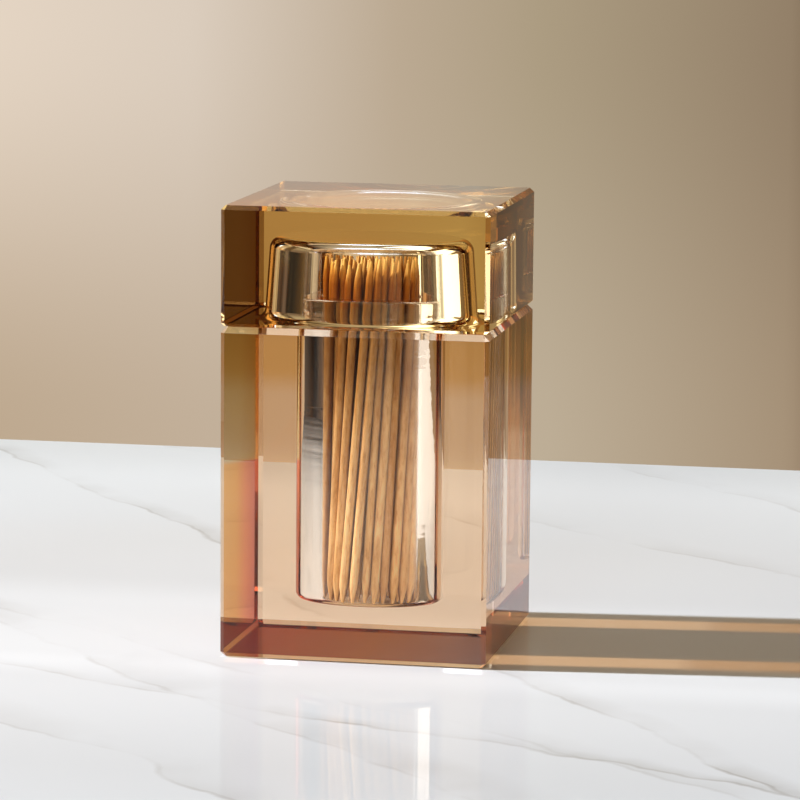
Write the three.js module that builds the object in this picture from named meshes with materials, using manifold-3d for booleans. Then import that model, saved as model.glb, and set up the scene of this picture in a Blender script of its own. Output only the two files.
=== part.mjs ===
// A square toothpick holder of thick tinted glass: a body block with a round bore and a neck, a lid block
// whose recess drops over the neck, and the toothpicks that stand in the bore.
// Millimetres, +Z up. The origin is the centre of the underside, and the photographed face looks along -Y.

import * as THREE from "three";
import { mergeVertices } from "three/addons/utils/BufferGeometryUtils.js";
import Module from "manifold-3d";

const manifold = await Module();
manifold.setup();

// Both glass blocks
const blockWidth = 50;
const lidHeight = 22.2;
const seatGap = 0.2;
const uprightEdgeChamfer = 0.8;
const baseEdgeChamfer = 0.8;
const shoulderEdgeChamfer = 1.1;
const lidUnderEdgeChamfer = 0.5;
const lidTopEdgeChamfer = 0.8;

// The bore, and the neck that it leaves by
const boreRadius = 14;
const boreFloorThickness = 9;
const boreFloorFillet = 1.2;
const neckWall = 5.4;
const neckHeight = 5;
const neckEdgeRadius = 0.5;

// The recess under the lid, which narrows upwards
const neckClearance = 0.35;
const recessDraftDegrees = 4;
const lidCeilingThickness = 6.8;
const recessCeilingFillet = 2.2;
const recessMouthRadius = 2;

// The toothpicks, which lean round the bore against its wall
const toothpickLength = 65;
const toothpickLengthSpread = 1.4;
const toothpickDiameter = 1.8;
const toothpickPointLength = 4.5;
const toothpickPointDiameter = 0.5;
const toothpickCount = 56;
const toothpickWallClearance = 0.15;
const toothpickFloorGap = 0.3;
const toothpickHeadroom = 2.9;
const toothpickSideGap = 0.12;
const rowDepth = 1.2;
const rowFillShare = 0.97;
const bundleTwistDegrees = 20;
const bundleTwistSpreadDegrees = 6;

// How finely the round forms are cut, and how far a cutting solid runs past the face that it opens
const roundSides = 72;
const arcSteps = 5;
const toothpickSides = 12;
const cutOverrun = 2;

// How the leaning toothpicks are parted: at so many levels of their length, in at most so many passes
const partingLevels = 9;
const partingPasses = 3000;

// Sizes that follow from those above. The toothpicks set how far the recess's ceiling is above the bore's
// floor, and the lid's height then leaves the height of the body.
const toothpickFoot = boreFloorThickness + toothpickFloorGap;
const recessCeiling = toothpickFoot + toothpickLength + toothpickHeadroom;
const lidTop = recessCeiling + lidCeilingThickness;
const lidUnderside = lidTop - lidHeight;
const bodyHeight = lidUnderside - seatGap;
const rimHeight = bodyHeight + neckHeight;
const neckRadius = boreRadius + neckWall;
const recessDraft = THREE.MathUtils.degToRad(recessDraftDegrees);
const recessRadiusAtRim = neckRadius + neckClearance;
const recessRadiusAtCeiling = recessRadiusAtRim - (recessCeiling - rimHeight) * Math.tan(recessDraft);
const recessRadiusAtMouth = recessRadiusAtRim + (rimHeight - lidUnderside) * Math.tan(recessDraft);
const toothpickReach = boreRadius - toothpickDiameter / 2 - toothpickWallClearance;
const toothpickSpacing = toothpickDiameter + toothpickSideGap;

const clear = { roughness: 0.03, metalness: 0, transparent: true, opacity: 0.4 };
const bodyGlass = new THREE.MeshStandardMaterial({ color: 0xc9a06a, ...clear });
const lidGlass = new THREE.MeshStandardMaterial({ color: 0xa67c36, ...clear });
const bamboo = new THREE.MeshStandardMaterial({ color: 0xd3a970, roughness: 0.7, metalness: 0 });

const quarterTurn = Math.PI / 2;

// Points on an arc about (x, y), from one angle to another, both ends among them.
function arcPoints(x, y, radius, fromAngle, toAngle) {
  const points = [];
  for (let step = 0; step <= arcSteps; step += 1) {
    const angle = THREE.MathUtils.lerp(fromAngle, toAngle, step / arcSteps);
    points.push(new THREE.Vector2(x + radius * Math.cos(angle), y + radius * Math.sin(angle)));
  }
  return points;
}

// A profile of (radius, height) points turned about +Z.
function turned(profile, sides, startAngle = 0) {
  const geometry = new THREE.LatheGeometry(profile, sides, startAngle);
  geometry.rotateX(quarterTurn);
  return geometry;
}

// A closed geometry as a solid that can be joined and cut.
function toSolid(geometry) {
  const bare = geometry.clone();
  bare.deleteAttribute("normal");
  bare.deleteAttribute("uv");
  const merged = mergeVertices(bare);
  const corners = merged.index.array;
  const triangles = [];
  for (let i = 0; i < corners.length; i += 3) {
    const [a, b, c] = corners.slice(i, i + 3);
    if (a !== b && b !== c && c !== a) {
      triangles.push(a, b, c);
    }
  }
  return new manifold.Manifold(
    new manifold.Mesh({
      numProp: 3,
      vertProperties: new Float32Array(merged.attributes.position.array),
      triVerts: new Uint32Array(triangles),
    }),
  );
}

function toGeometry(solid) {
  const { vertProperties, triVerts } = solid.getMesh();
  const geometry = new THREE.BufferGeometry();
  geometry.setAttribute("position", new THREE.BufferAttribute(vertProperties, 3));
  geometry.setIndex(new THREE.BufferAttribute(triVerts, 1));
  geometry.computeVertexNormals();
  return geometry;
}

// A square block between two heights with all its edges chamfered: a four-sided turned form, whose corners
// lie out at the square root of two, cut by an upright prism with its corners taken off.
function chamferedBlock(bottom, top, bottomChamfer, topChamfer) {
  const half = blockWidth / 2;
  const cornerReach = (width) => width * Math.SQRT2;
  const profile = [
    new THREE.Vector2(0, bottom),
    new THREE.Vector2(cornerReach(half - bottomChamfer), bottom),
    new THREE.Vector2(cornerReach(half), bottom + bottomChamfer),
    new THREE.Vector2(cornerReach(half), top - topChamfer),
    new THREE.Vector2(cornerReach(half - topChamfer), top),
    new THREE.Vector2(0, top),
  ];
  const square = toSolid(turned(profile, 4, quarterTurn / 2));

  const inner = half - uprightEdgeChamfer;
  const outline = new THREE.Shape();
  outline.moveTo(inner, -half);
  outline.lineTo(half, -inner);
  outline.lineTo(half, inner);
  outline.lineTo(inner, half);
  outline.lineTo(-inner, half);
  outline.lineTo(-half, inner);
  outline.lineTo(-half, -inner);
  outline.lineTo(-inner, -half);
  outline.closePath();
  const prism = new THREE.ExtrudeGeometry(outline, {
    depth: top - bottom + cutOverrun + cutOverrun,
    bevelEnabled: false,
  });
  prism.translate(0, 0, bottom - cutOverrun);
  return square.intersect(toSolid(prism));
}

function neckSolid() {
  const profile = [
    new THREE.Vector2(0, bodyHeight - cutOverrun),
    new THREE.Vector2(neckRadius, bodyHeight - cutOverrun),
    ...arcPoints(neckRadius - neckEdgeRadius, rimHeight - neckEdgeRadius, neckEdgeRadius, 0, quarterTurn),
    new THREE.Vector2(0, rimHeight),
  ];
  return toSolid(turned(profile, roundSides));
}

// The bore has a flat floor with a rounded corner, and its mouth is rounded over at the rim.
function boreSolid() {
  const floorArcRadius = boreRadius - boreFloorFillet;
  const floorArcHeight = boreFloorThickness + boreFloorFillet;
  const rimArcRadius = boreRadius + neckEdgeRadius;
  const rimArcHeight = rimHeight - neckEdgeRadius;
  const profile = [
    new THREE.Vector2(0, boreFloorThickness),
    ...arcPoints(floorArcRadius, floorArcHeight, boreFloorFillet, -quarterTurn, 0),
    ...arcPoints(rimArcRadius, rimArcHeight, neckEdgeRadius, Math.PI, quarterTurn),
    new THREE.Vector2(rimArcRadius, rimHeight + cutOverrun),
    new THREE.Vector2(0, rimHeight + cutOverrun),
  ];
  return toSolid(turned(profile, roundSides));
}

function makeBody() {
  const block = chamferedBlock(0, bodyHeight, baseEdgeChamfer, shoulderEdgeChamfer);
  const mesh = new THREE.Mesh(toGeometry(block.add(neckSolid()).subtract(boreSolid())), bodyGlass);
  mesh.name = "body";
  return mesh;
}

// The recess has a tapered wall, a rounded ceiling corner, and a mouth that is rounded over outwards.
function recessSolid() {
  const cornerReach = Math.tan((quarterTurn + recessDraft) / 2);
  const mouthArcRadius = recessRadiusAtMouth + recessMouthRadius / cornerReach;
  const ceilingArcRadius = recessRadiusAtCeiling - recessCeilingFillet / cornerReach;
  const mouthArcHeight = lidUnderside + recessMouthRadius;
  const ceilingArcHeight = recessCeiling - recessCeilingFillet;
  const profile = [
    new THREE.Vector2(0, lidUnderside - cutOverrun),
    new THREE.Vector2(mouthArcRadius, lidUnderside - cutOverrun),
    ...arcPoints(mouthArcRadius, mouthArcHeight, recessMouthRadius, -quarterTurn, recessDraft - Math.PI),
    ...arcPoints(ceilingArcRadius, ceilingArcHeight, recessCeilingFillet, recessDraft, quarterTurn),
    new THREE.Vector2(0, recessCeiling),
  ];
  return toSolid(turned(profile, roundSides));
}

function makeLid() {
  const block = chamferedBlock(lidUnderside, lidTop, lidUnderEdgeChamfer, lidTopEdgeChamfer);
  const mesh = new THREE.Mesh(toGeometry(block.subtract(recessSolid())), lidGlass);
  mesh.name = "lid";
  return mesh;
}

// A share from 0 to 1 that looks random and is the same for the same number.
function scatterShare(number) {
  const wave = Math.sin(number * 12.9898) * 43758.5453;
  return wave - Math.floor(wave);
}

// The toothpicks as they are dropped in, seen from above, so that a foot and a tip are flat points. They
// stand in rows, the first along the bore's wall, some a little further in than others. The upper end of
// each is turned on round the bore from its lower end, by more or less.
function droppedToothpicks() {
  const dropped = [];
  let rowRadius = toothpickReach;
  while (dropped.length < toothpickCount) {
    const room = Math.floor((2 * Math.PI * rowRadius * rowFillShare) / toothpickSpacing);
    const count = Math.min(room, toothpickCount - dropped.length);
    for (let place = 0; place < count; place += 1) {
      const number = dropped.length + 1;
      const spread = bundleTwistSpreadDegrees * (2 * scatterShare(number) - 1);
      const twist = THREE.MathUtils.degToRad(bundleTwistDegrees + spread);
      const angle = (place / count) * 2 * Math.PI;
      const radius = rowRadius - rowDepth * scatterShare(-number) ** 2;
      const foot = new THREE.Vector2(radius * Math.cos(angle), radius * Math.sin(angle));
      const tip = new THREE.Vector2(radius * Math.cos(angle + twist), radius * Math.sin(angle + twist));
      dropped.push({ foot, tip });
    }
    rowRadius -= toothpickSpacing;
  }
  return dropped;
}

// Shifts a toothpick so that its middle line moves by the given amount at a share of its length.
function shift(toothpick, share, amount) {
  const leverage = (1 - share) ** 2 + share ** 2;
  toothpick.foot.addScaledVector(amount, (1 - share) / leverage);
  toothpick.tip.addScaledVector(amount, share / leverage);
}

// Moves toothpicks apart, and in from the wall, level by level until none touches another.
function partToothpicks(toothpicks) {
  const here = new THREE.Vector2();
  const there = new THREE.Vector2();
  for (let pass = 0, touching = true; touching && pass < partingPasses; pass += 1) {
    touching = false;
    for (let level = 0; level < partingLevels; level += 1) {
      const share = (level + 1 / 2) / partingLevels;
      for (const [place, toothpick] of toothpicks.entries()) {
        here.lerpVectors(toothpick.foot, toothpick.tip, share);
        if (here.length() > toothpickReach) {
          shift(toothpick, share, here.clone().setLength(toothpickReach).sub(here));
        }
        for (const other of toothpicks.slice(place + 1)) {
          here.lerpVectors(toothpick.foot, toothpick.tip, share);
          there.lerpVectors(other.foot, other.tip, share).sub(here);
          const lack = toothpickSpacing - there.length();
          if (lack > 0) {
            touching = true;
            there.setLength(lack / 2);
            shift(other, share, there);
            shift(toothpick, share, there.negate());
          }
        }
      }
    }
  }
  return toothpicks;
}

// One toothpick between its lower and upper point, pointed at both ends.
function makeToothpick(number, lower, upper) {
  const length = lower.distanceTo(upper);
  const profile = [
    new THREE.Vector2(0, 0),
    new THREE.Vector2(toothpickPointDiameter / 2, 0),
    new THREE.Vector2(toothpickDiameter / 2, toothpickPointLength),
    new THREE.Vector2(toothpickDiameter / 2, length - toothpickPointLength),
    new THREE.Vector2(toothpickPointDiameter / 2, length),
    new THREE.Vector2(0, length),
  ];
  const mesh = new THREE.Mesh(turned(profile, toothpickSides), bamboo);
  mesh.name = `toothpick_${String(number).padStart(2, "0")}`;
  mesh.position.copy(lower);
  mesh.quaternion.setFromUnitVectors(new THREE.Vector3(0, 0, 1), upper.clone().sub(lower).normalize());
  return mesh;
}

function makeToothpicks() {
  const group = new THREE.Group();
  for (const [place, { foot, tip }] of partToothpicks(droppedToothpicks()).entries()) {
    const length = toothpickLength - toothpickLengthSpread * scatterShare(-place) ** 2;
    const rise = Math.sqrt(length ** 2 - foot.distanceToSquared(tip));
    const lower = new THREE.Vector3(foot.x, foot.y, toothpickFoot);
    const upper = new THREE.Vector3(tip.x, tip.y, toothpickFoot + rise);
    group.add(makeToothpick(place + 1, lower, upper));
  }
  return group;
}

const holder = new THREE.Group();
holder.add(makeBody());
holder.add(makeLid());
holder.add(makeToothpicks());

export default holder;
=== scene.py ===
# A square toothpick holder of thick tinted glass on a pale table, in metres, in the frame of its CAD model.
import itertools
import math
import random
import bmesh
import bpy
from mathutils import Matrix, Vector


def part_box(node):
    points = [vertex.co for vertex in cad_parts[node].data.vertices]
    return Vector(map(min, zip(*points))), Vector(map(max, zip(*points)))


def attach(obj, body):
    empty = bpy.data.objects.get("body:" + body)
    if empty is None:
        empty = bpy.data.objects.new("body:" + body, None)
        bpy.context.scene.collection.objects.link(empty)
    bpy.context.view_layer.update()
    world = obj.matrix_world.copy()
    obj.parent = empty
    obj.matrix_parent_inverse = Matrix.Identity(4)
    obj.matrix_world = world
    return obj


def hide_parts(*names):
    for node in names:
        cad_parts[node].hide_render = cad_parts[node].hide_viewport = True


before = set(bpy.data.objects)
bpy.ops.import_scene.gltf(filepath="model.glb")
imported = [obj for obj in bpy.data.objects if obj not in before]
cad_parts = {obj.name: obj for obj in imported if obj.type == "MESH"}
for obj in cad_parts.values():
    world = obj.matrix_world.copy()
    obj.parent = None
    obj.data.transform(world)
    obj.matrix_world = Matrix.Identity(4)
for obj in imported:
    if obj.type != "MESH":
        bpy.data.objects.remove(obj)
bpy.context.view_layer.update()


# The body: a square block of pale amber glass, cast in one with its round neck, ground flat and polished.
# A narrow flat facet runs along every edge of the block. The bore for the toothpicks comes down through
# the neck to a floor with a rounded corner.
body_low, body_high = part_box("body")
lid_low, lid_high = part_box("lid")
block_width = body_high.x - body_low.x
rim_height = body_high.z
seat_gap = 0.0002
shoulder_height = lid_low.z - seat_gap
upright_facet = 0.0008
base_facet = 0.0008
shoulder_facet = 0.0011
neck_radius = 0.0194
neck_root = 0.002
bore_radius = 0.014
bore_floor = 0.009
bore_floor_fillet = 0.0012
bore_overrun = 0.002
rim_rounding = 0.0005
rim_rounding_steps = 4
fillet_steps = 8
turned_sides = 256
smooth_angle = math.radians(30)
ripple_depth = 0.000003
ripple_lengths = (0.0009, 0.0013, 0.0019, 0.0034)
ripple_stretch = (0.7, 1.3)
ripple_turns = (0, 1, 2)
ripple_fade = 0.003
bore_ripples, bore_ripple_seed = (13, 17), 3
same_place = 1e-5
same_radius = 1e-4
cut_tolerance = 1e-6


def only(piece):
    """Makes a piece the one that is selected and active."""
    bpy.ops.object.select_all(action="DESELECT")
    piece.select_set(True)
    bpy.context.view_layer.objects.active = piece


def added(name):
    """Names the primitive that was just added, and puts its place into its mesh."""
    piece = bpy.context.active_object
    piece.name = piece.data.name = name
    bpy.ops.object.transform_apply(location=True, rotation=True, scale=True)
    return piece


def bevel_edges(piece, chosen, width, segments=1):
    """Bevels the edges for whose two ends chosen(a, b) is true."""
    only(piece)
    bpy.ops.object.mode_set(mode="EDIT")
    bpy.ops.mesh.select_mode(type="EDGE")
    bpy.ops.mesh.select_all(action="DESELECT")
    mesh = bmesh.from_edit_mesh(piece.data)
    for edge in mesh.edges:
        edge.select_set(chosen(edge.verts[0].co, edge.verts[1].co))
    bmesh.update_edit_mesh(piece.data)
    bpy.ops.mesh.bevel(offset=width, segments=segments, affect="EDGES")
    bpy.ops.object.mode_set(mode="OBJECT")


def near(a, b):
    return abs(a - b) < same_place


def at_height(height):
    """Chooses the edges that lie at one height."""
    return lambda a, b: near(a.z, height) and near(b.z, height)


def round_edge(radius, height):
    """Chooses the edges of a circle about the upright axis."""
    def on_circle(point):
        return near(point.z, height) and abs(point.xy.length - radius) < same_radius

    return lambda a, b: on_circle(a) and on_circle(b)


def faceted_block(name, low, high, lower_facet, upper_facet):
    """A square block with a flat facet along every edge."""
    bpy.ops.mesh.primitive_cube_add(
        size=1,
        location=(0, 0, (low + high) / 2),
        scale=(block_width, block_width, high - low),
    )
    block = added(name)
    bevel_edges(block, lambda a, b: near(a.x, b.x) and near(a.y, b.y), upright_facet)
    bevel_edges(block, at_height(low), lower_facet)
    bevel_edges(block, at_height(high), upper_facet)
    return block


def boolean(piece, other, operation):
    """Joins another solid to a piece or cuts it out, and removes the other."""
    only(piece)
    modifier = piece.modifiers.new(operation.lower(), "BOOLEAN")
    modifier.operation = operation
    modifier.solver = "EXACT"
    modifier.object = other
    bpy.ops.object.modifier_apply(modifier=modifier.name)
    bpy.data.objects.remove(other)


def ripple_wall(piece, low, high, rings, seed):
    """Gives a turned wall the faint rings that the drill and the polishing wheel leave on it. The wall's
    faces are cut across so many times, once for each number of rings."""
    only(piece)
    bpy.ops.object.mode_set(mode="EDIT")
    bpy.ops.mesh.select_mode(type="EDGE")
    for height in (low, high):
        bpy.ops.mesh.select_all(action="SELECT")
        bpy.ops.mesh.bisect(plane_co=(0, 0, height), plane_no=(0, 0, 1))
    for cuts in rings:
        bpy.ops.mesh.select_all(action="DESELECT")
        mesh = bmesh.from_edit_mesh(piece.data)
        for edge in mesh.edges:
            lower, upper = sorted(corner.co.z for corner in edge.verts)
            inside = low - cut_tolerance < lower and upper < high + cut_tolerance
            edge.select_set(inside and lower < upper - same_place)
        bmesh.update_edit_mesh(piece.data)
        bpy.ops.mesh.subdivide(number_cuts=cuts)
    bpy.ops.object.mode_set(mode="OBJECT")
    chance = random.Random(seed)
    waves = [
        (length, chance.uniform(0, math.tau), chance.uniform(*ripple_stretch), chance.choice(ripple_turns))
        for length in ripple_lengths
    ]
    for point in piece.data.vertices:
        from_end = min(point.co.z - low, high - point.co.z)
        from_axis = point.co.xy.length
        if from_end <= 0 or from_axis < ripple_depth:
            continue
        around = math.atan2(point.co.y, point.co.x)
        wave = sum(
            math.sin(point.co.z / length * math.tau * stretch + phase + turns * around) * length
            for length, phase, stretch, turns in waves
        ) / sum(ripple_lengths)
        fade = min(1, from_end / ripple_fade)
        point.co.xy *= 1 + ripple_depth * fade * wave / from_axis


def polish(piece):
    """Rounded faces shade smoothly and ground faces stay flat."""
    only(piece)
    bpy.ops.object.shade_smooth_by_angle(angle=smooth_angle)
    modifier = piece.modifiers.new("flat faces", "WEIGHTED_NORMAL")
    modifier.keep_sharp = True
    modifier.weight = 100
    bpy.ops.object.modifier_apply(modifier=modifier.name)


body = faceted_block("glass_body", 0, shoulder_height, base_facet, shoulder_facet)
bpy.ops.mesh.primitive_cylinder_add(
    vertices=turned_sides,
    radius=neck_radius,
    depth=rim_height - shoulder_height + neck_root,
    location=(0, 0, (rim_height + shoulder_height - neck_root) / 2),
)
neck = added("neck")
bevel_edges(neck, round_edge(neck_radius, rim_height), rim_rounding, rim_rounding_steps)
boolean(body, neck, "UNION")
bpy.ops.mesh.primitive_cylinder_add(
    vertices=turned_sides,
    radius=bore_radius,
    depth=rim_height + bore_overrun - bore_floor,
    location=(0, 0, (rim_height + bore_overrun + bore_floor) / 2),
)
bore = added("bore")
bevel_edges(bore, round_edge(bore_radius, bore_floor), bore_floor_fillet, fillet_steps)
bore_wall_low, bore_wall_high = bore_floor + 2 * bore_floor_fillet, rim_height - 2 * rim_rounding
ripple_wall(bore, bore_wall_low, bore_wall_high, bore_ripples, bore_ripple_seed)
boolean(body, bore, "DIFFERENCE")
bevel_edges(body, round_edge(bore_radius, rim_height), rim_rounding, rim_rounding_steps)
polish(body)


def feed(tree, socket, value):
    """Gives a socket its value: a number, a colour or vector, or a node's output."""
    if isinstance(value, tuple):
        socket.default_value = (*value, 1) if socket.type == "RGBA" else value
    elif isinstance(value, (int, float)):
        socket.default_value = value
    else:
        tree.links.new(value, socket)


def new_material(name):
    material = bpy.data.materials.new(name)
    material.use_nodes = True
    return material, material.node_tree


def number_of(tree, operation, first, second=0):
    """What a calculation with one or two numbers gives."""
    node = tree.nodes.new("ShaderNodeMath")
    node.operation = operation
    feed(tree, node.inputs[0], first)
    feed(tree, node.inputs[1], second)
    return node.outputs[0]


def split(tree, vector):
    """The three coordinates of a vector."""
    apart = tree.nodes.new("ShaderNodeSeparateXYZ")
    tree.links.new(vector, apart.inputs[0])
    return tuple(apart.outputs)


def own_place(tree):
    """The place on the object in its own coordinates."""
    return tree.nodes.new("ShaderNodeTexCoord").outputs["Object"]


def share_between(tree, value, start, end, least=0, most=1, smooth=False):
    """Goes from least to most while a value goes from start to end."""
    share = tree.nodes.new("ShaderNodeMapRange")
    share.interpolation_type = "SMOOTHSTEP" if smooth else "LINEAR"
    names = ("Value", "From Min", "From Max", "To Min", "To Max")
    for name, given in zip(names, (value, start, end, least, most)):
        feed(tree, share.inputs[name], given)
    return share.outputs["Result"]


def ramp_along(tree, value, stops, interpolation="LINEAR"):
    """Colours along a value, each where the value reaches its stop."""
    first, last = stops[0][0], stops[-1][0]
    ramp = tree.nodes.new("ShaderNodeValToRGB")
    ramp.color_ramp.interpolation = interpolation
    tree.links.new(share_between(tree, value, first, last), ramp.inputs["Fac"])
    for stop, colour in stops[1:-1]:
        ramp.color_ramp.elements.new((stop - first) / (last - first)).color = (*colour, 1)
    ramp.color_ramp.elements[0].color = (*stops[0][1], 1)
    ramp.color_ramp.elements[-1].color = (*stops[-1][1], 1)
    return ramp.outputs["Color"]


def mixed(tree, blend_type, factor, first, second):
    """Two colours blended."""
    mix = tree.nodes.new("ShaderNodeMix")
    mix.data_type = "RGBA"
    mix.blend_type = blend_type
    for socket, value in zip((mix.inputs[0], mix.inputs[6], mix.inputs[7]), (factor, first, second)):
        feed(tree, socket, value)
    return mix.outputs[2]


def shading(tree, kind, **inputs):
    """What a shader of some kind gives."""
    node = tree.nodes.new(kind)
    for name, value in inputs.items():
        feed(tree, node.inputs[name], value)
    return node.outputs[0]


def mixed_shading(tree, factor, first, second):
    mix = tree.nodes.new("ShaderNodeMixShader")
    for socket, value in zip(mix.inputs, (factor, first, second)):
        feed(tree, socket, value)
    return mix.outputs[0]


def any_ray(tree, *kinds):
    """1 for rays of these kinds and 0 for others."""
    path = tree.nodes.new("ShaderNodeLightPath")
    chosen = path.outputs[kinds[0]]
    for kind in kinds[1:]:
        chosen = number_of(tree, "MAXIMUM", chosen, path.outputs[kind])
    return chosen


# How far in from the block's outside its side faces reach, with their facets, and how far up its underside.
# Light turns back inside where it meets a face past the critical angle, and lamp light is lost where it
# grazes one. Both limits are given as Layer Weight's facing, which is 1 less the cosine of the angle.
glass_index = 1.52
side_reach = 0.0012
upright_facet_reach = 1.01 * upright_facet
underside_reach = base_facet / 4
turns_back_from = 1 - math.sqrt(1 - 1 / glass_index ** 2)
grazing_range = (0.8, 0.93)

# Painted reflection colours: the tints that light takes where it turns back inside stand in for the
# surroundings that these reflections show. The left face's go by height and by depth, and change at the
# height where the far edge of the table shows in it.
facet_reflection_tint = (0.8, 0.72, 0.6)
sight_slope = 0.085
horizon_height = 0.0363
low_reflection_tints = (
    (-0.025, (1, 1, 1)),
    (-0.004, (0.98, 0.87, 0.82)),
    (0.008, (0.95, 0.61, 0.81)),
    (0.016, (0.83, 0.48, 0.76)),
    (0.025, (0.69, 0.39, 0.7)),
)
high_reflection_tints = (
    (-0.025, (1, 1, 1)),
    (0, (0.98, 0.93, 0.85)),
    (0.025, (0.85, 0.63, 0.375)),
)
underside_reflection_tints = (
    (-0.025, (0.5, 0.16, 0.105)),
    (0, (0.45, 0.22, 0.1)),
    (0.025, (0.29, 0.2, 0.245)),
)


def faces_met(tree, x, y, z):
    """For some of a block's faces, 1 on them and 0 elsewhere. The outer ones are its sides and underside."""
    sideways = [number_of(tree, "ABSOLUTE", axis) for axis in (x, y)]
    outward = number_of(tree, "MAXIMUM", *sideways)
    across = number_of(tree, "ADD", *sideways)
    on_side = number_of(tree, "GREATER_THAN", outward, block_width / 2 - side_reach)
    on_underside = number_of(tree, "LESS_THAN", z, body_low.z + underside_reach)
    return {
        "outer": number_of(tree, "MAXIMUM", on_side, on_underside),
        "underside": on_underside,
        "left": number_of(tree, "LESS_THAN", x, side_reach - block_width / 2),
        "right": number_of(tree, "GREATER_THAN", x, block_width / 2 - side_reach),
        "upright facets": number_of(tree, "GREATER_THAN", across, block_width - upright_facet_reach),
    }


def painted_reflection_tint(tree, place, on, rear_reflection_tints, right_reflection_tint, left_reflection_tints):
    """The painted reflection colour that light takes where it turns back inside at an outer face."""
    x, y, z = place
    behind = number_of(tree, "MULTIPLY", number_of(tree, "ADD", y, block_width / 2), sight_slope)
    level = number_of(tree, "ADD", z, behind)
    above_horizon = number_of(tree, "GREATER_THAN", level, horizon_height)
    low_tint, high_tint = ramp_along(tree, y, low_reflection_tints), ramp_along(tree, y, high_reflection_tints)
    by_depth = mixed(tree, "MIX", above_horizon, low_tint, high_tint)
    tint = ramp_along(tree, z, rear_reflection_tints)
    for face, its_tint in (
        ("right", right_reflection_tint),
        ("left", mixed(tree, "MULTIPLY", 1, ramp_along(tree, level, left_reflection_tints), by_depth)),
        ("upright facets", facet_reflection_tint),
        ("underside", ramp_along(tree, x, underside_reflection_tints)),
    ):
        tint = mixed(tree, "MIX", on[face], tint, its_tint)
    return tint


def tinted_glass(name, colour, absorption, lamp_tints, rear_reflection_tints, right_reflection_tint, left_reflection_tints, facet_painted_shade):
    """Clear polished glass whose colour deepens with the way through it. Light that turns back inside at an
    outer face takes a painted reflection colour for that face, and the upright facets carry painted shade.
    Lamp light and soft light go straight through to what stands inside: they take a tint at the outer faces,
    and are lost where they graze a wall."""
    glass, tree = new_material(name)
    shader, output = tree.nodes["Principled BSDF"], tree.nodes["Material Output"]
    shader.inputs["Base Color"].default_value = (1, 1, 1, 1)
    shader.inputs["Roughness"].default_value = 0
    shader.inputs["IOR"].default_value = glass_index
    shader.inputs["Transmission Weight"].default_value = 1
    inside = shading(tree, "ShaderNodeVolumeAbsorption", Color=colour, Density=absorption)
    tree.links.new(inside, output.inputs["Volume"])

    place = split(tree, own_place(tree))
    on = faces_met(tree, *place)
    # Painted shade: the upright facets let less light through, so that they show darker
    base_colour = mixed(tree, "MIX", on["upright facets"], (1, 1, 1), facet_painted_shade)
    tree.links.new(base_colour, shader.inputs["Base Color"])
    # Painted reflection colours on the light that turns back inside at the outer faces
    tint = painted_reflection_tint(tree, place, on, rear_reflection_tints, right_reflection_tint, left_reflection_tints)
    mirror = shading(tree, "ShaderNodeBsdfGlossy", Roughness=0, Color=tint)

    slant = tree.nodes.new("ShaderNodeLayerWeight")
    slant.inputs["Blend"].default_value = 0.5
    facing = slant.outputs["Facing"]
    from_inside = tree.nodes.new("ShaderNodeNewGeometry").outputs["Backfacing"]
    past_critical = number_of(tree, "GREATER_THAN", facing, turns_back_from)
    turns_back = number_of(tree, "MULTIPLY", from_inside, past_critical)
    tinted = number_of(tree, "MULTIPLY", turns_back, on["outer"])
    seen = mixed_shading(tree, tinted, shader.outputs["BSDF"], mirror)

    grazes = share_between(tree, facing, *grazing_range, smooth=True)
    side_lamp_tint, right_lamp_tint = lamp_tints
    lamp_tint = mixed(tree, "MIX", on["right"], side_lamp_tint, right_lamp_tint)
    lets_through = mixed(tree, "MIX", on["outer"], (1, 1, 1), lamp_tint)
    lets_through = mixed(tree, "MIX", grazes, lets_through, (0, 0, 0))
    clear = shading(tree, "ShaderNodeBsdfTransparent", Color=lets_through)
    lighting = any_ray(tree, "Is Shadow Ray", "Is Diffuse Ray")
    tree.links.new(mixed_shading(tree, lighting, seen, clear), output.inputs["Surface"])
    return glass


body.data.materials.append(tinted_glass(
    "pale amber glass",
    colour=(0.99, 0.73, 0.42),
    absorption=25,
    lamp_tints=((0.79, 0.69, 0.56), (0.79, 0.69, 0.56)),
    # Painted reflection colours for the faces where light turns back inside
    rear_reflection_tints=(
        (0, (0.86, 0.76, 0.66)),
        (0.036, (0.86, 0.76, 0.66)),
        (0.038, (0.72, 0.5, 0.29)),
        (0.066, (0.68, 0.48, 0.27)),
    ),
    right_reflection_tint=(0.84, 0.7, 0.56),
    left_reflection_tints=(
        (0, (0.86, 0.6, 0.33)),
        (0.02, (0.88, 0.66, 0.35)),
        (0.0358, (0.88, 0.67, 0.36)),
        (0.0368, (0.74, 0.82, 0.78)),
        (0.047, (0.68, 0.72, 0.56)),
        (0.058, (0.58, 0.56, 0.36)),
        (0.066, (0.55, 0.52, 0.32)),
    ),
    # Painted shade on the upright facets
    facet_painted_shade=(0.9, 0.88, 0.86),
))
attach(body, "holder")
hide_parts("body")


# The lid: a square block of a deeper amber glass, as wide as the body, pressed and then ground and polished.
# The round recess in its underside tapers upwards and drops loosely over the neck.
lid_edge_facet = 0.0008
lid_under_facet = 0.0005
neck_clearance = 0.00035
recess_ceiling = 0.0772
recess_radius_at_rim = neck_radius + neck_clearance
recess_draft = math.tan(math.radians(4))
recess_ceiling_fillet = 0.0022
recess_mouth_rounding = 0.002
recess_mouth_steps = 10
recess_overrun = 0.001
recess_ripples, recess_ripple_seed = (7, 4), 8

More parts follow.
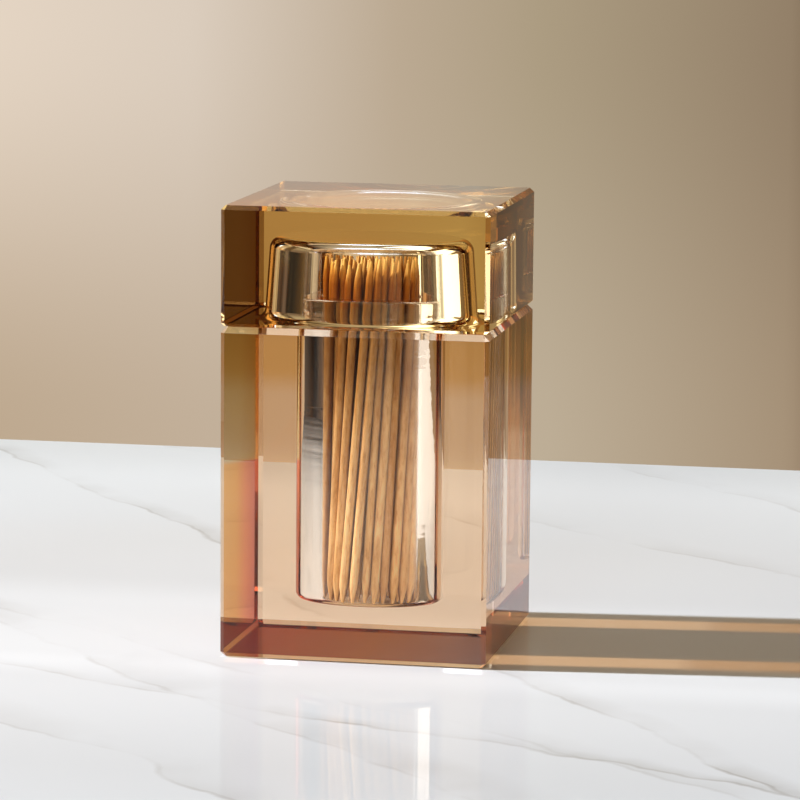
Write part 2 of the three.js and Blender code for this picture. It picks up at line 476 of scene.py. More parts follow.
lid = faceted_block("glass_lid", lid_low.z, lid_high.z, lid_under_facet, lid_edge_facet)
recess_bottom = lid_low.z - recess_overrun
recess_radius_at_bottom = recess_radius_at_rim + (rim_height - recess_bottom) * recess_draft
recess_radius_at_mouth = recess_radius_at_rim + (rim_height - lid_low.z) * recess_draft
recess_radius_at_ceiling = recess_radius_at_rim - (recess_ceiling - rim_height) * recess_draft
bpy.ops.mesh.primitive_cone_add(
    vertices=turned_sides,
    radius1=recess_radius_at_bottom,
    radius2=recess_radius_at_ceiling,
    depth=recess_ceiling - recess_bottom,
    location=(0, 0, (recess_ceiling + recess_bottom) / 2),
)
recess = added("recess")
bevel_edges(recess, round_edge(recess_radius_at_ceiling, recess_ceiling), recess_ceiling_fillet, fillet_steps)
recess_wall_low = lid_low.z + recess_mouth_rounding
recess_wall_high = recess_ceiling - 2 * recess_ceiling_fillet
ripple_wall(recess, recess_wall_low, recess_wall_high, recess_ripples, recess_ripple_seed)
boolean(lid, recess, "DIFFERENCE")
recess_mouth = round_edge(recess_radius_at_mouth, lid_low.z)
bevel_edges(lid, recess_mouth, recess_mouth_rounding, recess_mouth_steps)
polish(lid)
lid.data.materials.append(tinted_glass(
    "deep amber glass",
    colour=(0.85, 0.645, 0.14),
    absorption=50,
    lamp_tints=((0.6, 0.42, 0.2), (0.25, 0.23, 0.22)),
    # Painted reflection colours for the faces where light turns back inside
    rear_reflection_tints=((0.0618, (0.5, 0.4, 0.3)), (0.084, (0.5, 0.4, 0.3))),
    right_reflection_tint=(1, 0.97, 0.9),
    left_reflection_tints=((0.0618, (0.36, 0.27, 0.2)), (0.084, (0.36, 0.27, 0.2))),
    # Painted shade on the upright facets
    facet_painted_shade=(0.5, 0.4, 0.38),
))
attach(lid, "lid")
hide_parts("lid")


# The toothpicks: round bamboo sticks, cut to length and ground to a point at both ends. They stand loose in
# the bore and lean against its wall, twisted round it as they were dropped in.
stick_radius = 0.0009
stick_point_radius = 0.00025
stick_point_length = 0.0045
stick_point_roundness = 1.3
stick_length = 0.065
stick_sides = 20
stick_smooth_angle = math.radians(45)
point_ring_shares = (0.35, 0.72, 1)

bpy.ops.mesh.primitive_cylinder_add(
    vertices=stick_sides, radius=stick_radius, depth=stick_length, location=(0, 0, stick_length / 2)
)
stick = added("toothpick")
only(stick)
bpy.ops.object.mode_set(mode="EDIT")
for share in point_ring_shares:
    for height in (stick_point_length * share, stick_length - stick_point_length * share):
        bpy.ops.mesh.select_all(action="SELECT")
        bpy.ops.mesh.bisect(plane_co=(0, 0, height), plane_no=(0, 0, 1))
bpy.ops.object.mode_set(mode="OBJECT")
for point in stick.data.vertices:
    from_end = min(point.co.z, stick_length - point.co.z)
    share = min(1, from_end / stick_point_length)
    swell = math.sin(share * math.pi / 2) ** stick_point_roundness
    girth = stick_point_radius + (stick_radius - stick_point_radius) * swell
    point.co.xy *= girth / stick_radius
only(stick)
bpy.ops.object.shade_smooth_by_angle(angle=stick_smooth_angle)

# The grain of bamboo, as its scale round a stick and along it, and its detail
fibre_grain, patch_grain, grain_roughness = (22, 260, 3), (2.5, 60, 2), 0.65

# The colours of bamboo: its fibres, its larger patches and the sticks' own tones. Then painted light and
# shade: lighter near a stick's foot and darker higher up, with a painted glow brighter than white at the
# fresh cut of its upper point, and painted shade where it faces towards its neighbours
stick_fibres = (
    (0.3, (0.7, 0.48, 0.25)),
    (0.5, (0.93, 0.75, 0.47)),
    (0.7, (0.98, 0.88, 0.64)),
)
stick_patches = (
    (0.35, (0.78, 0.68, 0.56)),
    (0.6, (1, 1, 1)),
)
stick_tones = (
    (0, (0.72, 0.6, 0.5)),
    (0.35, (0.94, 0.9, 0.82)),
    (0.7, (1, 1, 1)),
    (1, (1, 0.86, 0.66)),
)
stick_painted_light_lengthwise = (
    (0.015, (1.32, 1.32, 1.34)),
    (0.035, (0.96, 0.88, 0.76)),
    (0.045, (0.56, 0.45, 0.32)),
    (stick_length - 1.9 * stick_point_length, (0.52, 0.4, 0.26)),
    (stick_length - 1.6 * stick_point_length, (0.6, 0.3, 0.1)),
    (stick_length - 1.0 * stick_point_length, (0.68, 0.36, 0.12)),
    (stick_length - 0.6 * stick_point_length, (1, 0.68, 0.34)),
    (stick_length - 0.3 * stick_point_length, (1.7, 1.6, 1.15)),
    (stick_length, (2.2, 2.3, 2)),
)
stick_painted_shade_inward = (
    (-0.4, (0.2, 0.13, 0.08)),
    (0.15, (0.42, 0.31, 0.22)),
    (0.6, (0.95, 0.93, 0.9)),
    (0.9, (1, 1, 1)),
)


def vector_of(tree, operation, first, second=(0, 0, 0)):
    """What a calculation with one or two vectors gives."""
    node = tree.nodes.new("ShaderNodeVectorMath")
    node.operation = operation
    feed(tree, node.inputs[0], first)
    feed(tree, node.inputs[1], second)
    return node.outputs["Value" if operation in ("DOT_PRODUCT", "LENGTH") else "Vector"]


def noise_of(tree, place, scale, detail, roughness=0.5):
    noise = tree.nodes.new("ShaderNodeTexNoise")
    names = ("Vector", "Scale", "Detail", "Roughness")
    for name, given in zip(names, (place, scale, detail, roughness)):
        feed(tree, noise.inputs[name], given)
    return noise


def bamboo_material():
    """Split bamboo: pale straw with fine brown fibres along the stick, each stick a little different in tone.
    The sticks' UV map runs round a stick in u, with a whole number for each stick, and along it in v. What
    faces the middle of the bundle, where little light gets in, is painted dark as shade, and each stick is
    painted lighter or darker along its length, with a painted glow at its upper point."""
    bamboo, tree = new_material("bamboo")
    shader = tree.nodes["Principled BSDF"]
    shader.inputs["Roughness"].default_value = 0.55
    shader.inputs["Specular IOR Level"].default_value = 0.3
    grain_uv = tree.nodes.new("ShaderNodeUVMap")
    grain_uv.uv_map = "grain"
    around, along, _ = split(tree, grain_uv.outputs["UV"])
    chance = tree.nodes.new("ShaderNodeTexWhiteNoise")
    chance.noise_dimensions = "1D"
    feed(tree, chance.inputs["W"], number_of(tree, "FLOOR", around))

    def grain(scale_around, scale_along, detail):
        stretch = tree.nodes.new("ShaderNodeMapping")
        feed(tree, stretch.inputs["Vector"], grain_uv.outputs["UV"])
        feed(tree, stretch.inputs["Scale"], (scale_around, scale_along, 1))
        return noise_of(tree, stretch.outputs["Vector"], 1, detail, grain_roughness).outputs["Fac"]

    normal = tree.nodes.new("ShaderNodeNewGeometry").outputs["Normal"]
    radial = vector_of(tree, "NORMALIZE", vector_of(tree, "MULTIPLY", own_place(tree), (1, 1, 0)))
    facing_out = vector_of(tree, "DOT_PRODUCT", normal, radial)
    facing_up = split(tree, normal)[2]
    colour = ramp_along(tree, grain(*fibre_grain), stick_fibres)
    for factor in (
        ramp_along(tree, grain(*patch_grain), stick_patches),
        # Painted light and shade along the stick, with a painted glow at its upper point
        ramp_along(tree, along, stick_painted_light_lengthwise),
        ramp_along(tree, chance.outputs["Value"], stick_tones),
        # Painted shade where the stick faces the middle of the bundle or downwards
        ramp_along(tree, number_of(tree, "MAXIMUM", facing_out, facing_up), stick_painted_shade_inward),
    ):
        colour = mixed(tree, "MULTIPLY", 1, colour, factor)
    tree.links.new(colour, shader.inputs["Base Color"])
    return bamboo


grain_start, grain_width = 0.05, 0.45
grain_map = stick.data.uv_layers.new(name="grain")
for face in stick.data.polygons:
    turns = []
    for corner in face.vertices:
        point = stick.data.vertices[corner].co
        turns.append(math.atan2(point.y, point.x) / math.tau + 0.5)
    if max(turns) - min(turns) > 0.5:
        turns = [turn + 1 if turn < 0.5 else turn for turn in turns]
    for loop, corner, turn in zip(face.loop_indices, face.vertices, turns):
        grain_map.data[loop].uv = (grain_start + turn * grain_width, stick.data.vertices[corner].co.z)
stick.data.materials.append(bamboo_material())
stick_numbers = itertools.count()


def placed_stick(name, foot, tip):
    """A copy of the toothpick between two points, with its own number in its grain map."""
    copy = stick.copy()
    copy.data = stick.data.copy()
    copy.name = copy.data.name = name
    bpy.context.collection.objects.link(copy)
    turn = (tip - foot).to_track_quat("Z", "Y").to_matrix().to_4x4()
    stretch = Matrix.Diagonal((1, 1, (tip - foot).length / stick_length, 1))
    copy.data.transform(Matrix.Translation(foot) @ turn @ stretch)
    number = next(stick_numbers)
    for corner in copy.data.uv_layers["grain"].data:
        corner.uv = (corner.uv.x + number, corner.uv.y)
    return copy


def stick_ends(node):
    """The middle of the lower and of the upper end of a CAD toothpick."""
    points = [vertex.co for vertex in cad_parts[node].data.vertices]
    lowest, highest = min(point.z for point in points), max(point.z for point in points)
    lower = [point for point in points if point.z < lowest + stick_radius / 4]
    upper = [point for point in points if point.z > highest - stick_radius / 4]
    return sum(lower, Vector()) / len(lower), sum(upper, Vector()) / len(upper)


for node in sorted(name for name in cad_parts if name.startswith("toothpick_")):
    foot, tip = stick_ends(node)
    piece = placed_stick("bamboo_" + node, foot, tip)
    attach(piece, "holder")
    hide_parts(node)


# The toothpicks in the middle of the bundle, behind the ones that show, fill the bore the same way. They
# stand in rows round its axis, each row with its radius and its number of sticks.
inner_rows = ((0.0078, 23), (0.0058, 17), (0.0038, 11), (0.0018, 5))
inner_twist = math.radians(20)
inner_twist_spread = (0.8, 1.2)
inner_floor_gap = 0.0003
inner_shortfall = 0.0014
inner_seed = 7
scatter = random.Random(inner_seed)
inner = []
for row_radius, count in inner_rows:
    start = scatter.uniform(0, math.tau)
    for number in range(count):
        angle = start + number / count * math.tau
        upper_angle = angle + inner_twist * scatter.uniform(*inner_twist_spread)
        foot_height = bore_floor + inner_floor_gap
        tip_height = foot_height + stick_length - scatter.uniform(0, inner_shortfall)
        foot = Vector((row_radius * math.cos(angle), row_radius * math.sin(angle), foot_height))
        tip = Vector((row_radius * math.cos(upper_angle), row_radius * math.sin(upper_angle), tip_height))
        inner.append(placed_stick("inner_stick", foot, tip))
only(inner[0])
for piece in inner:
    piece.select_set(True)
bpy.ops.object.join()
inner_bundle = bpy.context.active_object
inner_bundle.name = inner_bundle.data.name = "bamboo_toothpicks_inside"
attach(inner_bundle, "holder")
bpy.data.objects.remove(stick)


# The table top: white polished stone with grey veins, which wander, break off and have a soft cloud on one
# side. Near the block it mirrors faintly. Its brightness is painted light and shade: a bright band in front
# of the block, darker towards the wall, and in what the glass sees, painted shade to the left and to the
# front and painted light to the right.
table_left, table_right = -1.2, 1.2
table_front, wall_y = -1.2, 0.214
table_top = -0.0001
stone_colour = (0.86, 0.885, 0.915)
vein_colour = (0.5, 0.485, 0.465)
vein_wander = ((14, 0.022), (70, 0.005), (260, 0.0014))
vein_break_scale, vein_break_range, vein_faintest = 26, (0.42, 0.66), 0.06
polish_share, polish_range, polish_roughness = 0.16, (0.2, 0.1), 0.02
leftness_range = (-0.02, -0.12)

# How a vein shows across its line, from its sharp side to where its cloud starts
vein_cloud_start = 0.0007
vein_profile = (
    (-0.0012, (0, 0, 0)),
    (-0.0003, (1, 1, 1)),
    (0.0001, (1, 1, 1)),
    (0.0006, (0.5, 0.5, 0.5)),
)

# Each vein: a point on it, its direction in degrees, the width of its cloud, and its strength
veins = (
    (-0.014, -0.067, -46.7, 0.013, 0.85),
    (-0.025, -0.104, -42, 0.012, 0.6),
    (0.055, -0.092, -24, 0.004, 0.8),
    (0.068, -0.078, -54, 0.007, 0.8),
    (-0.14, 0.06, -38, 0.008, 0.4),
    (0.1, 0.12, -48, 0.007, 0.4),
    (0.2, -0.03, -40, 0.01, 0.5),
    (-0.19, -0.1, -46, 0.009, 0.5),
    (0.01, -0.26, -36, 0.008, 0.45),
    (0.32, 0.02, -45, 0.01, 0.45),
    (-0.34, -0.02, -41, 0.01, 0.45),
)

# Painted light and shade on the stone, with the depth of the table and across it, and as the glass sees it:
# towards the left by the distance from the block, and elsewhere by the depth and to the right
stone_painted_light_by_depth = (
    (-0.12, (0.865, 0.865, 0.865)),
    (-0.05, (1, 1, 1)),
    (-0.034, (1.1, 1.1, 1.1)),
    (-0.026, (1.06, 1.06, 1.06)),
    (0.02, (0.98, 0.98, 0.98)),
    (0.05, (0.89, 0.89, 0.89)),
    (0.16, (0.84, 0.84, 0.83)),
    (0.214, (0.76, 0.76, 0.745)),
)
stone_painted_light_across = (
    (-0.15, (1, 1, 1)),
    (-0.06, (1.03, 1.03, 1.03)),
    (0.01, (1, 1, 1)),
    (0.08, (0.96, 0.96, 0.96)),
)
stone_painted_shade_leftward = (
    (0.1, (1, 1, 1)),
    (0.19, (0.76, 0.78, 0.8)),
    (0.23, (0.56, 0.585, 0.61)),
    (0.262, (0.3, 0.31, 0.325)),
    (0.285, (0.12, 0.12, 0.12)),
    (0.304, (0.05, 0.05, 0.05)),
)
stone_painted_shade_frontward = (
    (-0.45, (0.1, 0.1, 0.1)),
    (-0.3, (0.8, 0.8, 0.8)),
    (-0.2, (1, 1, 1)),
)
stone_painted_light_rightward = (
    (0.08, (1, 1, 1)),
    (0.13, (1.3, 1.3, 1.3)),
    (0.3, (1.4, 1.4, 1.4)),
)

bpy.ops.mesh.primitive_plane_add(size=1, location=(0, 0, 0))
table = added("table")
for point in table.data.vertices:
    point.co.x = table_left if point.co.x < 0 else table_right
    point.co.y = table_front if point.co.y < 0 else wall_y
    point.co.z = table_top


def veined_stone(tree, place):
    """The colour of the stone with its veins."""
    wandered = place
    for scale, reach in vein_wander:
        noise = noise_of(tree, place, scale, 2).outputs["Color"]
        offset = vector_of(tree, "SUBTRACT", noise, (0.5, 0.5, 0.5))
        wandered = vector_of(tree, "ADD", wandered, vector_of(tree, "MULTIPLY", offset, (reach, reach, 0)))
    noise = noise_of(tree, place, vein_break_scale, 3).outputs["Fac"]
    unbroken = share_between(tree, noise, *vein_break_range, least=vein_faintest)
    colour = stone_colour
    for vein_x, vein_y, degrees, cloud_width, strength in veins:
        across = (-math.sin(math.radians(degrees)), math.cos(math.radians(degrees)), 0)
        beside = vector_of(tree, "DOT_PRODUCT", wandered, across)
        beside = number_of(tree, "SUBTRACT", beside, vein_x * across[0] + vein_y * across[1])
        cloud_end = (vein_cloud_start + cloud_width, (0, 0, 0))
        line = ramp_along(tree, beside, (*vein_profile, cloud_end))
        strength_here = number_of(tree, "MULTIPLY", unbroken, strength)
        colour = mixed(tree, "MIX", number_of(tree, "MULTIPLY", line, strength_here), colour, vein_colour)
    return colour


def stone_in_glass(tree, x, y, distance):
    """The painted light and shade on the stone where the glass sees it."""
    leftness = share_between(tree, x, *leftness_range)
    frontward, rightward = ramp_along(tree, y, stone_painted_shade_frontward), ramp_along(tree, x, stone_painted_light_rightward)
    elsewhere = mixed(tree, "MULTIPLY", 1, frontward, rightward)
    return mixed(tree, "MIX", leftness, elsewhere, ramp_along(tree, distance, stone_painted_shade_leftward))


def stone_material():
    """White stone with its veins, and a polish that mirrors near the block but not under it."""
    stone, tree = new_material("white stone")
    shader = tree.nodes["Principled BSDF"]
    shader.inputs["Roughness"].default_value = 0.6
    shader.inputs["Specular IOR Level"].default_value = 0
    place = own_place(tree)
    x, y, _ = split(tree, place)
    distance = vector_of(tree, "LENGTH", place)
    by_glass = any_ray(tree, "Is Transmission Ray", "Is Glossy Ray")
    colour = veined_stone(tree, place)
    for factor in (
        # Painted light and shade: in what the glass sees, by the depth of the table and across it
        mixed(tree, "MIX", by_glass, (1, 1, 1), stone_in_glass(tree, x, y, distance)),
        ramp_along(tree, y, stone_painted_light_by_depth, "EASE"),
        ramp_along(tree, x, stone_painted_light_across),
    ):
        colour = mixed(tree, "MULTIPLY", 1, colour, factor)
    tree.links.new(colour, shader.inputs["Base Color"])

    near_block = share_between(tree, distance, *polish_range, most=polish_share, smooth=True)
    side_x, side_y, _ = split(tree, vector_of(tree, "ABSOLUTE", place))
    outward = number_of(tree, "MAXIMUM", side_x, side_y)
    uncovered = number_of(tree, "GREATER_THAN", outward, block_width / 2)
    polished = number_of(tree, "MULTIPLY", near_block, uncovered)
    mirror = shading(tree, "ShaderNodeBsdfGlossy", Roughness=polish_roughness)
    top = mixed_shading(tree, polished, shader.outputs["BSDF"], mirror)
    tree.links.new(top, tree.nodes["Material Output"].inputs["Surface"])
    return stone


table.data.materials.append(stone_material())


# The wall behind the table, painted beige. The camera and the glass see it glow with painted light instead of
# lamplight, palest at the upper left as if lit from there. It is seen from the front only, so that a view
# from behind looks past it. In what the glass shows of it, it also has painted brighter and darker parts,
# among them a painted glowing window, and painted sunlight at the upper right.
wall_left, wall_right = -1.2, 1.2
wall_foot, wall_head = -0.3, 1.2
wall_paint = (0.5, 0.42, 0.32)

# The wall's painted light across it, high up and low down, and between which heights it changes
upper_from, upper_to = 0, 0.105
wall_painted_light_upper = (
    (-0.44, (0.14, 0.10, 0.07)),
    (-0.36, (0.24, 0.17, 0.11)),
    (-0.31, (0.86, 0.74, 0.6)),
    (-0.26, (0.84, 0.72, 0.58)),
    (-0.23, (0.7, 0.58, 0.46)),
    (-0.195, (0.42, 0.31, 0.2)),
    (-0.165, (0.84, 0.72, 0.56)),
    (-0.15, (0.79, 0.67, 0.55)),
    (-0.09, (0.71, 0.61, 0.51)),
    (-0.04, (0.50, 0.40, 0.29)),
    (-0.004, (0.41, 0.33, 0.22)),
    (0.055, (0.29, 0.215, 0.14)),
    (0.064, (0.17, 0.11, 0.065)),
    (0.085, (0.2, 0.13, 0.075)),
    (0.16, (0.26, 0.18, 0.1)),
)
wall_painted_light_lower = (
    (-0.44, (0.14, 0.10, 0.07)),
    (-0.36, (0.24, 0.17, 0.11)),
    (-0.31, (0.80, 0.66, 0.5)),
    (-0.26, (0.84, 0.72, 0.58)),
    (-0.23, (0.7, 0.58, 0.46)),
    (-0.195, (0.42, 0.31, 0.2)),
    (-0.165, (0.84, 0.72, 0.56)),
    (-0.15, (0.51, 0.39, 0.27)),
    (-0.086, (0.54, 0.43, 0.32)),
    (-0.002, (0.51, 0.42, 0.305)),
    (0.056, (0.38, 0.285, 0.19)),
    (0.066, (0.24, 0.16, 0.1)),
    (0.1, (0.38, 0.28, 0.18)),
    (0.16, (0.34, 0.24, 0.14)),
)

# Painted light and shade in what the glass sees of it: brighter or darker by height, with painted sunlight,
# a painted glowing window and a brighter stretch behind the lid each between its limits
painted_light_in_glass_by_height = (
    (0, (1.15, 1.2, 1.25)),
    (0.0022, (1.05, 1.07, 1.1)),
    (0.006, (1, 1, 1)),
    (0.0165, (1, 1, 1)),
    (0.0215, (0.9, 0.75, 0.44)),
    (0.0285, (0.9, 0.75, 0.44)),
    (0.0345, (0.8, 0.68, 0.46)),
    (0.038, (1, 1, 1)),
    (0.1, (1, 1, 1)),
    (0.112, (1.4, 1.05, 0.8)),
    (0.13, (1.4, 1.05, 0.8)),
    (0.17, (1.3, 1.4, 1.6)),
    (0.25, (1, 1, 1.1)),
    (0.3, (0.8, 0.8, 0.8)),
)
sunlit_rise, sunlit_side, sunlight = (0.2, 0.27), (0.08, 0.15), (18, 26, 45)
window_light = (7, 11, 24)
window_rows = (
    (0.165, (0, 0, 0)),
    (0.18, (1, 1, 1)),
    (0.225, (1, 1, 1)),
    (0.24, (0, 0, 0)),
)
window_columns = (
    (-0.11, (0, 0, 0)),
    (-0.09, (1, 1, 1)),
    (0.06, (1, 1, 1)),
    (0.08, (0, 0, 0)),
)
behind_lid_rise = (0.036, 0.039)
behind_lid = (
    (-0.08, (1, 1, 1)),
    (-0.045, (1.2, 1.26, 1.4)),
    (-0.02, (1.38, 1.6, 1.9)),
    (0, (1, 1, 1)),
)


def upright_sheet(name, corner, opposite):
    """A thin upright sheet between its lower corner on one side and its upper corner on the other."""
    bpy.ops.mesh.primitive_plane_add(size=1, location=(0, 0, 0), rotation=(math.pi / 2, 0, 0))
    sheet = added(name)
    for point in sheet.data.vertices:
        end = opposite if point.co.x > 0 else corner
        point.co = (end[0], end[1], opposite[2] if point.co.z > 0 else corner[2])
    return sheet


def glow_for(tree, kinds, colour, strength=1):
    """A plain brightness for rays of these kinds. Others see the material's own surface."""
    glow = shading(tree, "ShaderNodeEmission", Color=colour, Strength=strength)
    return mixed_shading(tree, any_ray(tree, *kinds), tree.nodes["Principled BSDF"].outputs["BSDF"], glow)


def wall_material():
    paint, tree = new_material("beige wall")
    tree.nodes["Principled BSDF"].inputs["Base Color"].default_value = (*wall_paint, 1)
    tree.nodes["Principled BSDF"].inputs["Roughness"].default_value = 0.9
    x, _, z = split(tree, own_place(tree))
    # The wall's painted light, which the camera and the glass see as a glow
    upperness = share_between(tree, z, upper_from, upper_to, smooth=True)
    painted = mixed(tree, "MIX", upperness, ramp_along(tree, x, wall_painted_light_lower), ramp_along(tree, x, wall_painted_light_upper))
    sunlit = number_of(
        tree, "MULTIPLY", share_between(tree, z, *sunlit_rise), share_between(tree, x, *sunlit_side)
    )
    window = mixed(tree, "MULTIPLY", 1, ramp_along(tree, z, window_rows), ramp_along(tree, x, window_columns))
    # Painted light and shade, painted sunlight and a painted glowing window, for the glass only
    factor = mixed(tree, "MIX", sunlit, ramp_along(tree, z, painted_light_in_glass_by_height), sunlight)
    factor = mixed(tree, "MIX", window, factor, window_light)
    high_enough = share_between(tree, z, *behind_lid_rise)
    factor = mixed(tree, "MULTIPLY", high_enough, factor, ramp_along(tree, x, behind_lid))
    factor = mixed(tree, "MIX", any_ray(tree, "Is Camera Ray"), factor, (1, 1, 1))
    colour = mixed(tree, "MULTIPLY", 1, painted, factor)
    front_side = glow_for(tree, ("Is Camera Ray", "Is Glossy Ray", "Is Transmission Ray"), colour)
    from_behind = tree.nodes.new("ShaderNodeNewGeometry").outputs["Backfacing"]
    shown = mixed_shading(tree, from_behind, front_side, shading(tree, "ShaderNodeBsdfTransparent"))
    tree.links.new(shown, tree.nodes["Material Output"].inputs["Surface"])
    return paint


wall = upright_sheet("wall", (wall_left, wall_y, wall_foot), (wall_right, wall_y, wall_head))
wall.data.materials.append(wall_material())


# Glowing white cards on the right of the table, which stand in for lights and paint the bright edges that the
# rounded walls of the glass show. They are seen through glass only, and nothing takes light from them.
white = (1, 1, 1)
card_rounding_steps = 8
side_card_fade = (
    (-0.02, (0.3, 0.29, 0.28)),
    (0.012, (0.34, 0.33, 0.32)),
    (0.03, white),
)


def glass_only(piece):
    """Keeps a stage piece out of the picture, the soft light and the shadows."""
    piece.visible_camera = False
    piece.visible_diffuse = False
    piece.visible_shadow = False


def card(name, corner, opposite, strength, rounding=0, fade=None):
    """An upright card between two corners, which glows with painted light for rays through glass. Its corners
    at the first one's side may be rounded, and its brightness may change with the depth of the table."""
    sheet = upright_sheet(name, corner, opposite)
    if rounding:
        only(sheet)
        bpy.ops.object.mode_set(mode="EDIT")
        bpy.ops.mesh.select_mode(type="VERT")
        bpy.ops.mesh.select_all(action="DESELECT")
        mesh = bmesh.from_edit_mesh(sheet.data)
        for point in mesh.verts:
            point.select_set(near(point.co.x, corner[0]))
        bmesh.update_edit_mesh(sheet.data)
        bpy.ops.mesh.bevel(offset=rounding, segments=card_rounding_steps, affect="VERTICES")
        bpy.ops.object.mode_set(mode="OBJECT")
    card_glow, tree = new_material(name)
    tree.nodes["Principled BSDF"].inputs["Base Color"].default_value = (0, 0, 0, 1)
    # The card's painted glow, seen through glass only
    colour = ramp_along(tree, split(tree, own_place(tree))[1], fade) if fade else white
    shown = glow_for(tree, ("Is Transmission Ray",), colour, strength)
    tree.links.new(shown, tree.nodes["Material Output"].inputs["Surface"])
    sheet.data.materials.append(card_glow)
    glass_only(sheet)


card("low_card", (0.40, -0.33, 0), (0.40, 0.21, 0.012), strength=1)
card("side_card", (0.40, -0.33, 0.012), (0.40, 0.212, 0.17), strength=2.9, fade=side_card_fade)
card("corner_card", (0.19, 0.212, 0.026), (0.40, 0.212, 0.132), strength=2.9, rounding=0.025)


# A low dark screen curves round the left of the table: a sheet of painted shade, which glows dimly for rays
# through glass. The glass mirrors it at the left of the bore and of the recess, and nothing else takes notice
# of it.
screen_radius, screen_height, screen_sides = 0.307, 0.1, 360
screen_from, screen_to = math.radians(-119), math.radians(-47)
screen_upper_from, screen_upper_to = 0.03, 0.055

# Its painted shade, as a dim brightness by the bearing from the rear in degrees, in its upper and its lower
# part
screen_shade_upper = (
    (-118, (0.19, 0.13, 0.08)),
    (-110, (0.06, 0.045, 0.035)),
    (-97, (0.03, 0.028, 0.03)),
    (-93, (0.018, 0.014, 0.015)),
    (-90, (0.035, 0.032, 0.034)),
    (-80, (0.025, 0.02, 0.018)),
    (-76, (0.17, 0.13, 0.12)),
    (-71, (0.2, 0.15, 0.14)),
    (-66, (0.09, 0.07, 0.065)),
    (-62, (0.06, 0.04, 0.03)),
    (-56, (0.1, 0.07, 0.055)),
    (-49, (0.12, 0.09, 0.075)),
)
screen_shade_lower = (
    (-118, (0.19, 0.13, 0.09)),
    (-110, (0.08, 0.06, 0.05)),
    (-100, (0.014, 0.018, 0.022)),
    (-82, (0.014, 0.012, 0.01)),
    (-70, (0.045, 0.04, 0.035)),
    (-60, (0.065, 0.06, 0.055)),
    (-52, (0.08, 0.07, 0.06)),
)
bpy.ops.mesh.primitive_cylinder_add(
    vertices=screen_sides,
    radius=screen_radius,
    depth=screen_height,
    end_fill_type="NOTHING",
    location=(0, 0, screen_height / 2),
)
screen = added("screen")
only(screen)
bpy.ops.object.mode_set(mode="EDIT")
mesh = bmesh.from_edit_mesh(screen.data)
away = []
for face in mesh.faces:
    middle = face.calc_center_median()
    if not screen_from < math.atan2(middle.x, middle.y) < screen_to:
        away.append(face)
bmesh.ops.delete(mesh, geom=away, context="FACES")
bmesh.update_edit_mesh(screen.data)
bpy.ops.object.mode_set(mode="OBJECT")


def screen_material():
    shade_sheet, tree = new_material("dark screen")
    x, y, z = split(tree, own_place(tree))
    bearing = number_of(tree, "DEGREES", number_of(tree, "ARCTAN2", x, y))
    upperness = share_between(tree, z, screen_upper_from, screen_upper_to, smooth=True)
    lower, upper = ramp_along(tree, bearing, screen_shade_lower), ramp_along(tree, bearing, screen_shade_upper)
    # Painted shade: a dim glow that only rays through glass see
    shown = glow_for(tree, ("Is Transmission Ray",), mixed(tree, "MIX", upperness, lower, upper))
    tree.links.new(shown, tree.nodes["Material Output"].inputs["Surface"])
    return shade_sheet


screen.data.materials.append(screen_material())
glass_only(screen)


# Studio light: a nearly sharp key from the left, a soft low front light, and dim surroundings. The lamps
# aren't mirrored: the cards, the wall and the surroundings that the glass sees stand in for them there.
def sun(name, energy, toward, angle, colour):
    """A distant lamp that shines along a direction."""
    data = bpy.data.lights.new(name, "SUN")
    data.energy = energy
    data.angle = angle
    data.color = colour
    light = bpy.data.objects.new(name, data)
    bpy.context.collection.objects.link(light)
    light.rotation_euler = Vector(toward).to_track_quat("-Z", "Y").to_euler()
    light.visible_transmission = False
    light.visible_glossy = False


key_fall = math.tan(math.radians(36))
front_fall = math.tan(math.radians(7))
sun("key", 4.85, toward=(1, 0.11, -key_fall), angle=math.radians(1.6), colour=(0.9, 0.945, 1))
sun("front", 1.4, toward=(0.1, 1, -front_fall), angle=math.radians(20), colour=(1, 0.94, 0.85))

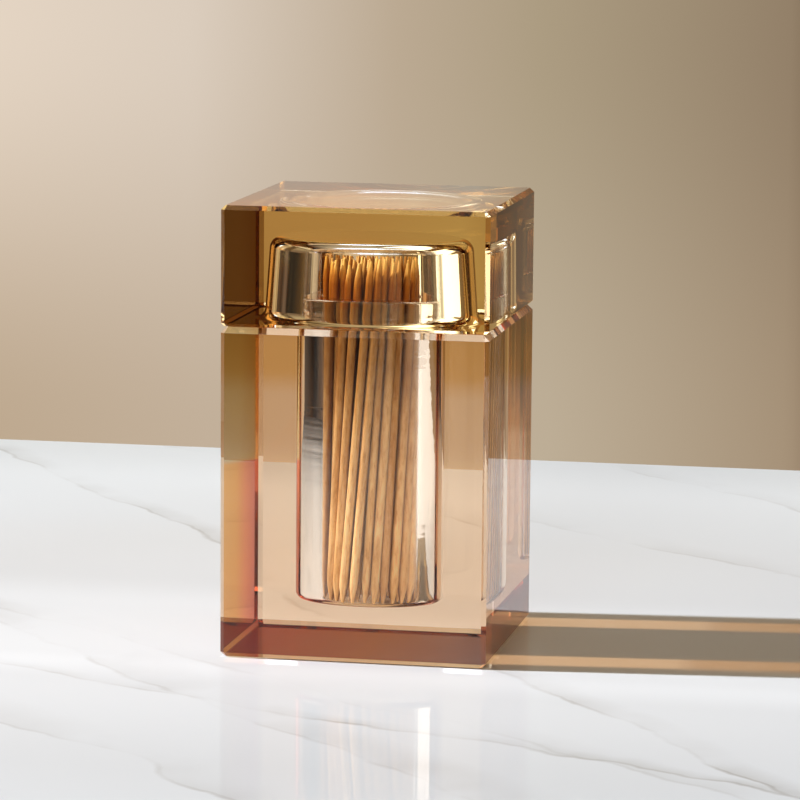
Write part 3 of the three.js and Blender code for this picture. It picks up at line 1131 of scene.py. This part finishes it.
ambient_light = (0.09, 0.062, 0.03)
backdrop_light = (0.62, 0.56, 0.48)
overhead_light, overhead_rise = (0.6, 0.54, 0.46), (0.3, 0.8)
skylight, skylight_rise, skylight_side = (3, 3.1, 3.5), (0.3, 0.42), (0.5, 0.75)
light_around = (
    (-1, (0.24, 0.18, 0.15)),
    (-0.7, (0.22, 0.16, 0.12)),
    (0.3, (0.34, 0.29, 0.23)),
    (1, (0.9, 0.88, 0.85)),
)
world = bpy.data.worlds.new("studio")
bpy.context.scene.world = world
world.use_nodes = True
tree = world.node_tree
x, _, z = split(tree, tree.nodes.new("ShaderNodeTexCoord").outputs["Generated"])
overhead = share_between(tree, z, *overhead_rise)
surroundings = mixed(tree, "MIX", overhead, ramp_along(tree, x, light_around), overhead_light)
up_right = number_of(
    tree, "MULTIPLY", share_between(tree, z, *skylight_rise), share_between(tree, x, *skylight_side)
)
seen_through_glass = number_of(tree, "MULTIPLY", up_right, any_ray(tree, "Is Transmission Ray"))
surroundings = mixed(tree, "MIX", seen_through_glass, surroundings, skylight)
ambient = tree.nodes["Background"]
ambient.inputs["Color"].default_value = (*ambient_light, 1)
by_glass = mixed_shading(
    tree,
    any_ray(tree, "Is Glossy Ray", "Is Transmission Ray"),
    ambient.outputs[0],
    shading(tree, "ShaderNodeBackground", Color=surroundings),
)
backdrop = shading(tree, "ShaderNodeBackground", Color=backdrop_light)
seen = mixed_shading(tree, any_ray(tree, "Is Camera Ray"), by_glass, backdrop)
tree.links.new(seen, tree.nodes["World Output"].inputs["Surface"])


# The camera stands where the photograph was taken from, which was worked out from the corners of the two
# blocks in it. The shift of its lens gives the photograph's framing.
aim = Vector((0, 0, 0.040))
camera_azimuth = math.radians(11.332)
camera_elevation = math.radians(8.807)
camera_distance = 0.78672
camera_roll = math.radians(0.436)
back = Vector((
    math.sin(camera_azimuth) * math.cos(camera_elevation),
    -math.cos(camera_azimuth) * math.cos(camera_elevation),
    math.sin(camera_elevation),
))
camera_data = bpy.data.cameras.new("camera")
camera = bpy.data.objects.new("camera", camera_data)
bpy.context.collection.objects.link(camera)
camera.location = aim + back * camera_distance
camera.rotation_mode = "QUATERNION"
roll = Matrix.Rotation(camera_roll, 3, "Z").to_quaternion()
camera.rotation_quaternion = (-back).to_track_quat("-Z", "Y") @ roll
camera_data.sensor_width = 36
camera_data.lens = 187.55
camera_data.shift_x = 0.0254
camera_data.shift_y = 0.0355
camera_data.clip_start = 0.01
camera_data.clip_end = 10
bpy.context.scene.camera = camera

bpy.context.scene.view_settings.view_transform = "Standard"
bpy.context.scene.cycles.max_bounces = 32
bpy.context.scene.cycles.transmission_bounces = 32
bpy.context.scene.cycles.glossy_bounces = 16
bpy.context.scene.cycles.transparent_max_bounces = 16
bpy.context.scene.cycles.use_denoising = True
